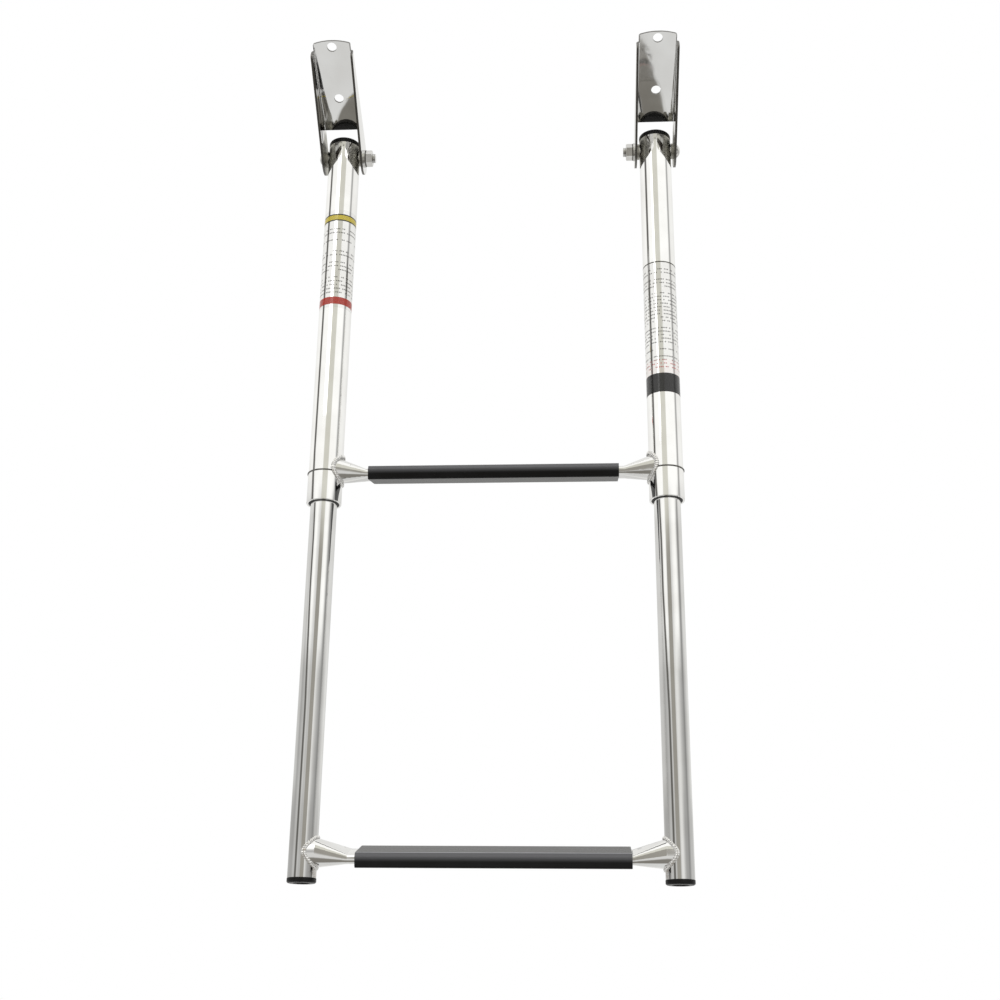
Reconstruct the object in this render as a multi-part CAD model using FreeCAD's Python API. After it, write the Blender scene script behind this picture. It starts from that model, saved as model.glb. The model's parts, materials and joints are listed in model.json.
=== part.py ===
import FreeCAD, Part

import math
import os

# A telescopic swim ladder of polished stainless tube. Two channel brackets bolt to a boat's
# swim platform. An upper frame of two rails and a flattened rung swings on a bolt in each
# bracket, and a lower frame with thinner rails slides up inside the upper rails.
#
# All lengths are millimetres. +X is to the right, -Y is the front, +Z is up along the rails.
# The origin is on the left bracket's flat back, at the middle of its plate.

# Rails
rail_spacing = 288.0
outer_tube_diameter = 28.6
outer_tube_wall = 1.4
inner_tube_diameter = 22.2
inner_tube_wall = 1.2

# Heights along the rails
outer_tube_above_hinge = 9.8
outer_tube_below_hinge = 317.3
inner_tube_below_rung = 19.0

# Collar at the lower end of each outer tube, and the bushings of the slide
collar_length = 26.4
collar_diameter = 29.3
collar_wall = 1.75
guide_above_collar = 3.3
slide_bushing_length = 25.0
slide_bushing_gap = 0.3
bushing_fit = 0.1
running_fit = 0.08

# Plugs in the tube ends
top_plug_diameter = 28.6
top_plug_rim = 4.6
top_plug_dome = 2.0
top_plug_depth = 4.6
foot_cap_diameter = 22.6
foot_cap_rim = 3.8
foot_cap_depth = 15.0
foot_cap_dish = 0.9
foot_cap_dish_diameter = 13.0
plug_fit = 0.05

# Rungs: a round tube pressed flat over its middle, its ends fitted to the rails
rung_tube_diameter = 22.2
rung_tube_wall = 1.2
rung_flat_thickness = 8.0
rung_flat_beyond_grip = 0.4
rung_round_from_rail = 10.5
rung_tilt = 15.2
rung_flat_set_back = 5.0
rung_flat_drop = 2.0
rung_weld_gap = 0.05
upper_rung_below_hinge = 313.4
rung_step = 316.4

# Grips: sleeves pushed over the flat of each rung
grip_length = 210.0
grip_width = 38.4
grip_thickness = 11.6
grip_top_chamfer = 3.0
grip_bottom_chamfer = 1.2
grip_fit = 0.15
upper_grip_shift = -0.8
lower_grip_shift = 3.0

# Brackets: a folded channel whose side walls run down past its back plate as ears
bracket_lean = 66.0
bracket_width = 37.6
sheet_thickness = 2.0
bend_radius = 3.0
plate_clearance = 2.0
plate_lower_edge = 21.1
plate_top = 108.8
tongue_width = 33.4
tongue_arc_rise = 2.7
tongue_corner_radius = 2.0
walls_below_plate_top = 9.6
wall_top_depth = 7.4
wall_corner_radius = 3.0
ear_radius = 14.5
screw_hole_diameter = 8.6
high_hole_below_top = 5.8
screw_hole_spacing = 49.9

# Hinge fasteners
bolt_diameter = 8.0
bolt_head_diameter = 13.4
bolt_head_height = 4.1
bolt_tip = 2.6
nut_across_flats = 13.0
nut_height = 6.5
nut_fit = 0.03
washer_diameter = 16.0
washer_thickness = 1.3
spacer_diameter = 14.0
spacer_gap = 0.1

# Sizes that follow from the ones above
rail_x = rail_spacing / 2
outer_radius = outer_tube_diameter / 2
outer_bore = outer_radius - outer_tube_wall
collar_bore = collar_diameter / 2 - collar_wall
inner_radius = inner_tube_diameter / 2
inner_bore = inner_radius - inner_tube_wall
plate_front = outer_radius + plate_clearance
plate_back = plate_front + sheet_thickness
plate_middle = (plate_lower_edge + plate_top) / 2
half_width = bracket_width / 2
wall_inside = half_width - sheet_thickness
wall_top = plate_top - walls_below_plate_top
screw_hole_high = plate_top - high_hole_below_top
screw_hole_low = screw_hole_high - screw_hole_spacing
collar_bottom = outer_tube_below_hinge + collar_length
slide_bushing_bottom = outer_tube_below_hinge - guide_above_collar - slide_bushing_gap
inner_tube_top = slide_bushing_bottom - slide_bushing_length
inner_tube_bottom = upper_rung_below_hinge + rung_step + inner_tube_below_rung
rung_flat_end = grip_length / 2 + max(abs(upper_grip_shift), abs(lower_grip_shift)) + rung_flat_beyond_grip
lean = math.radians(bracket_lean)

ACROSS = FreeCAD.Vector(1, 0, 0)
UP = FreeCAD.Vector(0, 0, 1)
HINGE = FreeCAD.Vector(
    0,
    plate_middle * math.sin(lean) - plate_back * math.cos(lean),
    -plate_middle * math.cos(lean) - plate_back * math.sin(lean),
)

# Every piece is first made about the hinge bolt of the right rail, with +X outward.


def rod(radius, low, high):
    """A round bar along the rail, between two heights from the hinge."""
    return Part.makeCylinder(radius, high - low, FreeCAD.Vector(0, 0, low), UP)


def cross_rod(radius, start, end):
    """A round bar along the hinge bolt, between two distances outward from the rail."""
    return Part.makeCylinder(radius, end - start, FreeCAD.Vector(start, 0, 0), ACROSS)


def closed_wire(edges):
    return Part.Wire(Part.__sortEdges__(edges))


def turned(points):
    """A solid turned about the rail's axis from an outline of radius and height."""
    corners = [FreeCAD.Vector(radius, 0, height) for radius, height in points]
    face = Part.Face(Part.makePolygon(corners + corners[:1]))
    return face.revolve(FreeCAD.Vector(0, 0, 0), UP, 360)


def outer_tube():
    low = -outer_tube_below_hinge
    high = outer_tube_above_hinge
    tube = rod(outer_radius, low, high).cut(rod(outer_bore, low - 1, high + 1))
    bolt_hole = cross_rod(bolt_diameter / 2 + running_fit, -outer_tube_diameter, outer_tube_diameter)
    return tube.cut(bolt_hole)


def top_plug():
    skirt = rod(outer_bore - plug_fit, outer_tube_above_hinge - top_plug_depth, outer_tube_above_hinge)
    rim_top = outer_tube_above_hinge + top_plug_rim
    rim = rod(top_plug_diameter / 2, outer_tube_above_hinge, rim_top)
    half = top_plug_diameter / 2
    ball_radius = (half ** 2 + top_plug_dome ** 2) / (2 * top_plug_dome)
    ball = Part.makeSphere(ball_radius, FreeCAD.Vector(0, 0, rim_top + top_plug_dome - ball_radius))
    dome = ball.common(rod(half, rim_top, rim_top + top_plug_dome + 1))
    return skirt.fuse(rim).fuse(dome).removeSplitter()


def collar():
    low = -collar_bottom
    high = -outer_tube_below_hinge
    return rod(collar_diameter / 2, low, high).cut(rod(collar_bore, low - 1, high + 1))


def guide_bushing():
    """A bushing that fills the collar and reaches a little way up into the outer tube."""
    low = -collar_bottom
    seam = -outer_tube_below_hinge
    high = seam + guide_above_collar
    bush = rod(collar_bore - plug_fit, low, seam).fuse(rod(outer_bore - plug_fit, seam, high))
    bush = bush.removeSplitter()
    return bush.cut(rod(inner_radius + running_fit, low - 1, high + 1))


def inner_tube():
    low = -inner_tube_bottom
    high = -inner_tube_top
    return rod(inner_radius, low, high).cut(rod(inner_bore, low - 1, high + 1))


def slide_bushing():
    low = -slide_bushing_bottom
    high = low + slide_bushing_length
    bush = rod(outer_bore - bushing_fit, low, high)
    return bush.cut(rod(inner_radius + plug_fit, low - 1, high + 1))


def foot_cap():
    base = -inner_tube_bottom - foot_cap_rim
    seat = -inner_tube_bottom
    rim = foot_cap_diameter / 2
    edge = rim - foot_cap_dish
    dish = foot_cap_dish_diameter / 2
    plug = inner_bore - plug_fit
    outline = [
        (0, base + foot_cap_dish),
        (dish, base + foot_cap_dish),
        (dish, base),
        (edge, base),
        (rim, base + foot_cap_dish),
        (rim, seat),
        (plug, seat),
        (plug, seat + foot_cap_depth),
        (0, seat + foot_cap_depth),
    ]
    return turned(outline)


def side_outline():
    """The bracket's walls seen from the side: Y across the channel, Z up along the plate."""
    def at(y, z):
        return FreeCAD.Vector(0, y, z)

    def touch(y, z, side):
        """Where a line from a corner meets the ear's round, on its front or its back."""
        reach = math.hypot(y, z)
        turn = math.atan2(z, y) + side * math.acos(ear_radius / reach)
        return at(ear_radius * math.cos(turn), ear_radius * math.sin(turn))

    front_y = plate_front - wall_top_depth
    front_touch = touch(front_y, wall_top, 1)
    back_touch = touch(plate_back, plate_lower_edge, -1)
    lines = [
        Part.LineSegment(back_touch, at(plate_back, plate_lower_edge)),
        Part.LineSegment(at(plate_back, plate_lower_edge), at(plate_back, wall_top)),
        Part.LineSegment(at(plate_back, wall_top), at(front_y, wall_top)),
        Part.LineSegment(at(front_y, wall_top), front_touch),
        Part.Arc(front_touch, at(0, -ear_radius), back_touch),
    ]
    return closed_wire([line.toShape() for line in lines])


def channel_section():
    """The folded sheet seen along the plate: a back plate and two walls with round bends."""
    def folded(half, back, radius):
        front = -bracket_width
        block = Part.makeBox(2 * half, back - front, 1, FreeCAD.Vector(-half, front, 0))
        bends = [
            edge for edge in block.Edges
            if abs(edge.BoundBox.YMin - back) < 1e-6 and edge.BoundBox.ZLength > 0.5
        ]
        return block.makeFillet(radius, bends)

    outside = folded(half_width, plate_back, bend_radius)
    inside = folded(wall_inside, plate_front, bend_radius - sheet_thickness)
    return outside.cut(inside)


def tongue():
    """The back plate's end that stands past the walls, with an arched and rounded top edge."""
    half = tongue_width / 2
    shoulder = plate_top - tongue_arc_rise
    left = FreeCAD.Vector(-half, plate_front, shoulder)
    right = FreeCAD.Vector(half, plate_front, shoulder)
    crown = FreeCAD.Vector(0, plate_front, plate_top)
    left_foot = FreeCAD.Vector(-half, plate_front, plate_middle)
    right_foot = FreeCAD.Vector(half, plate_front, plate_middle)
    edges = [
        Part.Arc(left, crown, right).toShape(),
        Part.makeLine(right, right_foot),
        Part.makeLine(right_foot, left_foot),
        Part.makeLine(left_foot, left),
    ]
    plate = Part.Face(closed_wire(edges)).extrude(FreeCAD.Vector(0, sheet_thickness, 0))
    corners = [
        edge for edge in plate.Edges
        if edge.BoundBox.YLength > sheet_thickness / 2 and edge.BoundBox.ZMin > plate_middle + 1
    ]
    return plate.makeFillet(tongue_corner_radius, corners)


def mounting_bracket():
    height = plate_top + 2 * ear_radius
    section = channel_section()
    section.translate(FreeCAD.Vector(0, 0, -2 * ear_radius))
    sheet_faces = [face for face in section.Faces if abs(face.CenterOfMass.z + 2 * ear_radius) < 1e-6]
    channel = sheet_faces[0].extrude(FreeCAD.Vector(0, 0, height))
    walls = Part.Face(side_outline()).extrude(FreeCAD.Vector(bracket_width, 0, 0))
    walls.translate(FreeCAD.Vector(-half_width, 0, 0))
    corner = [
        edge for edge in walls.Edges
        if abs(edge.BoundBox.ZMin - wall_top) < 1e-6 and abs(edge.BoundBox.YMax - plate_back) > 1
        and edge.BoundBox.XLength > 1
    ]
    walls = walls.makeFillet(wall_corner_radius, corner)
    bracket = channel.common(walls).fuse(tongue())
    notch_low = FreeCAD.Vector(-wall_inside, plate_front - bracket_width, -2 * ear_radius)
    notch = Part.makeBox(2 * wall_inside, 2 * bracket_width, plate_lower_edge + 2 * ear_radius, notch_low)
    bracket = bracket.cut(notch)
    toward_back = FreeCAD.Vector(0, 1, 0)
    for height_up in (screw_hole_low, screw_hole_high):
        start = FreeCAD.Vector(0, 0, height_up)
        drill = Part.makeCylinder(screw_hole_diameter / 2, 2 * plate_back, start, toward_back)
        bracket = bracket.cut(drill)
    bolt_hole = cross_rod(bolt_diameter / 2 + running_fit, -bracket_width, bracket_width)
    bracket = bracket.cut(bolt_hole).removeSplitter()
    bracket.rotate(FreeCAD.Vector(0, 0, 0), ACROSS, bracket_lean)
    return bracket


def hinge_bolt():
    tip = half_width + washer_thickness + nut_height + bolt_tip
    shank = cross_rod(bolt_diameter / 2, -tip, half_width)
    half = bolt_head_diameter / 2
    ball_radius = (half ** 2 + bolt_head_height ** 2) / (2 * bolt_head_height)
    ball = Part.makeSphere(ball_radius, FreeCAD.Vector(half_width + bolt_head_height - ball_radius, 0, 0))
    head = ball.common(cross_rod(half, half_width, half_width + bolt_head_height + 1))
    return shank.fuse(head).removeSplitter()


def nut_washer():
    start = -half_width - washer_thickness
    ring = cross_rod(washer_diameter / 2, start, -half_width)
    return ring.cut(cross_rod(bolt_diameter / 2 + running_fit, start - 1, 0))


def hinge_nut():
    inner = -half_width - washer_thickness
    outer = inner - nut_height
    corner = nut_across_flats / math.sqrt(3)
    points = []
    for index in range(6):
        turn = math.radians(60 * index)
        points.append(FreeCAD.Vector(outer, corner * math.cos(turn), corner * math.sin(turn)))
    hexagon = Part.Face(Part.makePolygon(points + points[:1]))
    nut = hexagon.extrude(FreeCAD.Vector(nut_height, 0, 0))
    cone_length = nut_height + corner
    cone = Part.makeCone(nut_across_flats / 2, nut_across_flats / 2 + cone_length * 2, cone_length,
                         FreeCAD.Vector(outer, 0, 0), ACROSS)
    nut = nut.common(cone)
    return nut.cut(cross_rod(bolt_diameter / 2 + nut_fit, outer - 1, inner + 1))


def spacer(side):
    """The washer between the tube and one wall: side is +1 outward, -1 inward."""
    near = outer_radius + spacer_gap
    far = wall_inside - plug_fit
    start, end = (near, far) if side > 0 else (-far, -near)
    ring = cross_rod(spacer_diameter / 2, start, end)
    return ring.cut(cross_rod(bolt_diameter / 2 + running_fit, start - 1, end + 1))


def rung_outline(x, share, inset):
    """The rung's section at x: round at share 0, pressed flat at share 1, moved in by a wall."""
    round_radius = rung_tube_diameter / 2
    half_thick = round_radius + (rung_flat_thickness / 2 - round_radius) * share
    straight = math.pi / 2 * (round_radius - half_thick)
    radius = half_thick - inset
    centre_y = rung_flat_set_back * share
    centre_z = -rung_flat_drop * share
    tilt = math.radians(rung_tilt)
    count = 40
    length = 4 * straight + 2 * math.pi * radius
    points = []
    for index in range(count):
        along = (length * index / count + straight) % length
        across, thick = stadium_point(along, straight, radius)
        y = centre_y + across * math.cos(tilt) - thick * math.sin(tilt)
        z = centre_z + across * math.sin(tilt) + thick * math.cos(tilt)
        points.append(FreeCAD.Vector(x, y, z))
    curve = Part.BSplineCurve()
    curve.interpolate(Points=points, PeriodicFlag=True)
    return Part.Wire([curve.toShape()])


def stadium_point(along, straight, radius):
    """A point at a distance along a slot's outline, with straights of twice the length given."""
    half_round = math.pi * radius
    if along < 2 * straight:
        return -straight + along, -radius
    along -= 2 * straight
    if along < half_round:
        turn = along / radius - math.pi / 2
        return straight + radius * math.cos(turn), radius * math.sin(turn)
    along -= half_round
    if along < 2 * straight:
        return straight - along, radius
    along -= 2 * straight
    turn = along / radius + math.pi / 2
    return -straight + radius * math.cos(turn), radius * math.sin(turn)


def rung_body(inset):
    """The outside or, with the wall as inset, the inside of a rung from rail to rail."""
    round_start = rail_x - rung_round_from_rail
    taper_length = round_start - rung_flat_end
    flat_face = Part.Face(rung_outline(-rung_flat_end, 1, inset))
    flat = flat_face.extrude(FreeCAD.Vector(2 * rung_flat_end, 0, 0))
    steps = 6
    sections = []
    for index in range(steps + 1):
        share = index / steps
        x = rung_flat_end + taper_length * share
        sections.append(rung_outline(x, 1 - share, inset))
    taper = Part.makeLoft(sections, True, True)
    end = Part.Face(rung_outline(round_start, 0, inset)).extrude(ACROSS * rung_round_from_rail)
    right = taper.fuse(end)
    left = right.mirror(FreeCAD.Vector(0, 0, 0), ACROSS)
    return flat.fuse(right).fuse(left)


def rung(rail_radius):
    """A rung about its own middle, its ends cut to sit against rails of one radius."""
    tube = rung_body(0).cut(rung_body(rung_tube_wall))
    for side in (-1, 1):
        centre = FreeCAD.Vector(side * rail_x, 0, -rung_tube_diameter)
        tube = tube.cut(Part.makeCylinder(rail_radius + rung_weld_gap, 2 * rung_tube_diameter, centre, UP))
    return max(tube.Solids, key=lambda solid: solid.Volume)


def grip(shift):
    """The sleeve on a rung's flat, about the rung's middle."""
    half = grip_width / 2
    thick = grip_thickness / 2
    top = grip_top_chamfer
    bottom = grip_bottom_chamfer
    corners = [
        (-half + bottom, -thick), (half - bottom, -thick), (half, -thick + bottom), (half, thick - top),
        (half - top, thick), (-half + top, thick), (-half, thick - top), (-half, -thick + bottom),
    ]
    start = shift - grip_length / 2
    points = [FreeCAD.Vector(start, y, z) for y, z in corners]
    sleeve = Part.Face(Part.makePolygon(points + points[:1])).extrude(FreeCAD.Vector(grip_length, 0, 0))
    sleeve.rotate(FreeCAD.Vector(0, 0, 0), ACROSS, rung_tilt)
    sleeve.translate(FreeCAD.Vector(0, rung_flat_set_back, -rung_flat_drop))
    hollow = Part.Face(rung_outline(start - 1, 1, -grip_fit)).extrude(FreeCAD.Vector(grip_length + 2, 0, 0))
    return sleeve.cut(hollow)


def save(name, shape, offset):
    """Move a piece to its place and write it to its own file."""
    placed = shape.copy()
    placed.translate(offset)
    solids = placed.Solids
    if len(solids) != 1 or not solids[0].isValid():
        print("check", name, len(solids), "solids")
    print(f"{name}: {placed.Volume:.0f} cubic millimetres")
    solids[0].exportStep(f"parts/{name}.step")


def save_pair(name, shape):
    """The same piece on the right rail and, mirrored, on the left one."""
    save(f"right_{name}", shape, HINGE + ACROSS * rail_spacing)
    save(f"left_{name}", shape.mirror(FreeCAD.Vector(0, 0, 0), ACROSS), HINGE)


def main():
    os.makedirs("parts", exist_ok=True)
    save_pair("mounting_bracket", mounting_bracket())
    save_pair("hinge_bolt", hinge_bolt())
    save_pair("nut_washer", nut_washer())
    save_pair("hinge_nut", hinge_nut())
    save_pair("outer_spacer", spacer(1))
    save_pair("inner_spacer", spacer(-1))
    save_pair("outer_tube", outer_tube())
    save_pair("top_plug", top_plug())
    save_pair("collar", collar())
    save_pair("guide_bushing", guide_bushing())
    save_pair("inner_tube", inner_tube())
    save_pair("slide_bushing", slide_bushing())
    save_pair("foot_cap", foot_cap())
    upper_place = HINGE + ACROSS * rail_x - UP * upper_rung_below_hinge
    lower_place = upper_place - UP * rung_step
    save("upper_rung", rung(collar_diameter / 2), upper_place)
    save("upper_grip", grip(upper_grip_shift), upper_place)
    save("lower_rung", rung(inner_radius), lower_place)
    save("lower_grip", grip(lower_grip_shift), lower_place)
    print("hinge at", HINGE)


main()
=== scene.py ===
# %% [markdown]
# A telescopic swim ladder, dressed for a studio picture. The construction comes in as a fixed frame:
# two folded brackets, an upper frame that swings on two bolts, and a lower frame that slides up inside
# it. What is left to do here is the finish of every surface and the small things that a drawing leaves
# out: rounded corners, weld beads, painted shade for threads and the clear films round the upper rails.

# %% Load the frame
import json
import math

import bmesh
import bpy
from mathutils import Matrix, Vector, noise


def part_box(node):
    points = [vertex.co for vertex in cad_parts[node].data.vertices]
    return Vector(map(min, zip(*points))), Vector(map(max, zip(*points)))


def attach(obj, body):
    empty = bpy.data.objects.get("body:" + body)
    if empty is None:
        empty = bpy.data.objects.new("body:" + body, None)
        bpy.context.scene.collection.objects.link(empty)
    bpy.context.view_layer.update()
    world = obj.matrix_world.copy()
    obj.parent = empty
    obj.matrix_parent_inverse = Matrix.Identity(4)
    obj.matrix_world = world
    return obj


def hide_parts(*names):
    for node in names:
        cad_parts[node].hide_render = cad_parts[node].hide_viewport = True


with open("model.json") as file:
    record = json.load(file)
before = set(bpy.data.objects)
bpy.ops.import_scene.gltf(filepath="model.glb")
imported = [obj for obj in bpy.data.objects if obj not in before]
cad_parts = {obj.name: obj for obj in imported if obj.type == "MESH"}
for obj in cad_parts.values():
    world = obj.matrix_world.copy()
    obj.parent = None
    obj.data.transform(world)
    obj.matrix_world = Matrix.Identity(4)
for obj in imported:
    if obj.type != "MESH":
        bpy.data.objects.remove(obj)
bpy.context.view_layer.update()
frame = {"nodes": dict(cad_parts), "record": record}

# %% [markdown]
# Everything that is added must sit on what carries it. So the places come from the frame: a tube's box
# gives its axis, its radius and its ends, and a washer on the hinge bolt gives the height of the hinge.

# %% Measure the rails and rungs
MM = 0.001


def middle(node_name):
    low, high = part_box(node_name)
    return (low + high) / 2


def radius(node_name):
    low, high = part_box(node_name)
    return (high.y - low.y) / 2


LEFT_X = middle("left_outer_tube").x
RIGHT_X = middle("right_outer_tube").x
RAIL_Y = middle("left_outer_tube").y
MIDDLE_X = (LEFT_X + RIGHT_X) / 2
HINGE_Z = middle("left_nut_washer").z
HINGE = Vector((MIDDLE_X, RAIL_Y, HINGE_Z))
OUTER_RADIUS = radius("left_outer_tube")
COLLAR_RADIUS = radius("left_collar")
INNER_RADIUS = radius("left_inner_tube")
COLLAR_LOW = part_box("left_collar")[0].z
UPPER_RUNG_Z = middle("upper_rung").z
LOWER_RUNG_Z = middle("lower_rung").z
SIDES = {"left": LEFT_X, "right": RIGHT_X}
print(f"rails {RIGHT_X - LEFT_X:.3f} m apart, rungs {UPPER_RUNG_Z - LOWER_RUNG_Z:.3f} m apart")

# %% [markdown]
# The camera stands where the photographer stood: low, in front, and looking up along the rails. A lens
# of about 49 mm makes the tops of the rails lean together as they do in the picture. The camera's
# matrix is built from three plain angles, so that each can be read and changed by itself.

# %% Set up the camera
CAMERA_PLACE = HINGE + Vector((0.06906, -1.0723, -0.7487))
CAMERA_PITCH = math.radians(20.77)
CAMERA_YAW = math.radians(-3.433)
CAMERA_ROLL = math.radians(0.633)
CAMERA_LENS = 49.37


def aimed_camera(place, pitch, yaw, roll, lens):
    ahead = Vector((math.sin(yaw) * math.cos(pitch), math.cos(yaw) * math.cos(pitch), math.sin(pitch)))
    right = Vector((math.cos(yaw), -math.sin(yaw), 0))
    up = right.cross(ahead)
    across = right * math.cos(roll) + up * math.sin(roll)
    upright = up * math.cos(roll) - right * math.sin(roll)
    camera = bpy.data.objects.new("camera", bpy.data.cameras.new("camera"))
    camera.matrix_world = Matrix.Translation(place) @ Matrix((across, upright, -ahead)).transposed().to_4x4()
    camera.data.lens = lens
    camera.data.sensor_width = 36
    bpy.context.scene.collection.objects.link(camera)
    return camera


bpy.context.scene.camera = aimed_camera(CAMERA_PLACE, CAMERA_PITCH, CAMERA_YAW, CAMERA_ROLL, CAMERA_LENS)
print("camera at", tuple(CAMERA_PLACE))

# %% [markdown]
# Materials are small graphs. One helper adds a node, sets its fields and links its inputs, which keeps
# each recipe short enough to read as a list of steps.

# %% Helpers for materials
def add(tree, kind, inputs=None, **fields):
    made = tree.nodes.new(kind)
    for name, value in fields.items():
        setattr(made, name, value)
    for name, value in (inputs or {}).items():
        if isinstance(value, bpy.types.NodeSocket):
            tree.links.new(value, made.inputs[name])
        else:
            made.inputs[name].default_value = value
    return made


def math_node(tree, operation, first, second=0.0, third=0.0):
    return add(tree, "ShaderNodeMath", {0: first, 1: second, 2: third}, operation=operation).outputs[0]


def span(tree, value, low, high, out_low=0.0, out_high=1.0, smooth=False):
    """Turn the range low..high of a value into out_low..out_high."""
    kind = "SMOOTHSTEP" if smooth else "LINEAR"
    ends = {"Value": value, "From Min": low, "From Max": high, "To Min": out_low, "To Max": out_high}
    return add(tree, "ShaderNodeMapRange", ends, interpolation_type=kind).outputs["Result"]


def ramp(tree, value, stops):
    """A colour ramp from a list of (place from 0 to 1, colour)."""
    made = add(tree, "ShaderNodeValToRGB", {"Fac": value})
    points = made.color_ramp.elements
    while len(points) < len(stops):
        points.new(1.0)
    for point, (place, colour) in zip(points, stops):
        point.position = place
        point.color = (*colour, 1.0)
    return made.outputs["Color"]


def blend_colour(tree, share, first, second):
    made = add(tree, "ShaderNodeMix", {"Factor": share}, data_type="RGBA")
    for socket, value in zip((made.inputs[6], made.inputs[7]), (first, second)):
        if isinstance(value, bpy.types.NodeSocket):
            tree.links.new(value, socket)
        else:
            socket.default_value = (*value, 1.0)
    return made.outputs[2]


def noise_value(tree, place, scale, detail=2.0, roughness=0.5):
    settings = {"Vector": place, "Scale": scale, "Detail": detail, "Roughness": roughness}
    return add(tree, "ShaderNodeTexNoise", settings).outputs["Fac"]


def object_place(tree, scale=(1, 1, 1), shift=(0, 0, 0)):
    """Object coordinates in metres, moved and then stretched."""
    start = add(tree, "ShaderNodeTexCoord").outputs["Object"]
    moved = add(tree, "ShaderNodeVectorMath", {0: start, 1: shift}, operation="ADD").outputs[0]
    return add(tree, "ShaderNodeVectorMath", {0: moved, 1: scale}, operation="MULTIPLY").outputs[0]


def new_material(name):
    """An empty material and its shader."""
    material = bpy.data.materials.new(name)
    material.use_nodes = True
    shader = material.node_tree.nodes["Principled BSDF"]
    return material, material.node_tree, shader


print("helpers ready")

# %% [markdown]
# Mirror polish shows its surroundings more than itself, so the studio is half of the finish. The
# picture's tubes are white with thin dark lines: they stand in a white tent, and the lines are the gaps
# between its panels. The tent is painted on the world as rings of panels. Each ring is a list of
# brightness by angle from the camera's side, for one height above the horizon. High up the panels are
# plain, and low down they are dimmer and broken up, which gives the lower rails their streaks. One gap
# leans, so it is painted over the rings by its angle at each height. Below the horizon hangs a skirt of
# panels, and under it lies the ground. The lens itself sees plain white.

# %% List the tent's panels
HIGH_RING = [
    (-180, 0.84), (-140, 0.98), (-108, 1.08), (-66, 1.12), (-28, 1.16), (70, 1.16), (76, 0.78),
    (80, 0.44), (86, 0.46), (94, 1.02), (120, 1.04), (150, 0.94), (180, 0.84),
]
WAIST_RING = [
    (-180, 0.66), (-140, 0.72), (-100, 0.74), (-88, 0.64), (-57, 1.04), (-40, 1.16), (-26, 0.92),
    (-14, 0.74), (14, 0.80), (26, 1.04), (44, 1.16), (58, 1.08), (67, 0.68), (75, 0.36), (83, 0.30),
    (91, 0.52), (103, 0.78), (140, 0.76), (180, 0.66),
]
MIDDLE_RING = [
    (-180, 0.70), (-140, 0.64), (-108, 0.62), (-88, 0.42), (-74, 0.50), (-60, 0.56), (-32, 0.68),
    (-18, 0.56), (6, 0.72), (20, 0.88), (33, 0.80), (46, 0.60), (58, 0.48), (70, 0.38), (81, 0.28),
    (91, 0.48), (105, 0.62), (136, 0.84), (180, 0.70),
]
LOW_RING = [
    (-180, 0.64), (-150, 0.55), (-124, 0.46), (-84, 0.42), (-70, 0.56), (-34, 0.60), (-18, 0.50),
    (2, 0.54), (16, 0.86), (27, 0.82), (37, 0.60), (49, 0.42), (68, 0.38), (79, 0.28), (90, 0.42),
    (101, 0.58), (122, 0.56), (146, 0.70), (180, 0.64),
]
SKIRT_RING = [
    (-180, 0.86), (-162, 0.82), (-154, 0.34), (-147, 0.30), (-138, 0.84), (-112, 0.88), (-104, 0.40),
    (-98, 0.44), (-90, 0.80), (-70, 0.74), (70, 0.74), (84, 0.80), (93, 0.34), (99, 0.38), (108, 0.88),
    (128, 0.84), (137, 0.42), (142, 0.46), (151, 0.86), (180, 0.86),
]
RING_TINT = Vector((1.0, 0.995, 0.975))
GAP_GREY = (0.14, 0.135, 0.125)
GAP_CORE, GAP_EDGE = 4.0, 13.0
GROUND = (0.74, 0.74, 0.73)
NEAR_GROUND = (0.24, 0.228, 0.205)
CAMERA_WHITE = (1.0, 1.0, 1.0)
RINGS = (HIGH_RING, WAIST_RING, MIDDLE_RING, LOW_RING, SKIRT_RING)
print("panels listed:", sum(len(ring) for ring in RINGS))


# %% Paint the tent on the world
def height(degrees):
    """The world's Z at an angle above the horizon."""
    return math.sin(math.radians(degrees))


def ring_ramp(tree, turn, ring):
    return ramp(tree, turn, [((degrees + 180) / 360, tuple(RING_TINT * level)) for degrees, level in ring])


def leaning_gap(tree, degrees, up):
    """1 in the gap, which swings outward with height, and 0 away from it."""
    low_part = span(tree, up, height(12), height(17), -46.0, -68.0)
    high_part = span(tree, up, height(19), height(22.5), 0.0, -15.0)
    centre = math_node(tree, "ADD", low_part, high_part)
    away = math_node(tree, "ABSOLUTE", math_node(tree, "SUBTRACT", degrees, centre))
    return span(tree, away, GAP_CORE, GAP_EDGE, 1.0, 0.0, smooth=True)


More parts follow.
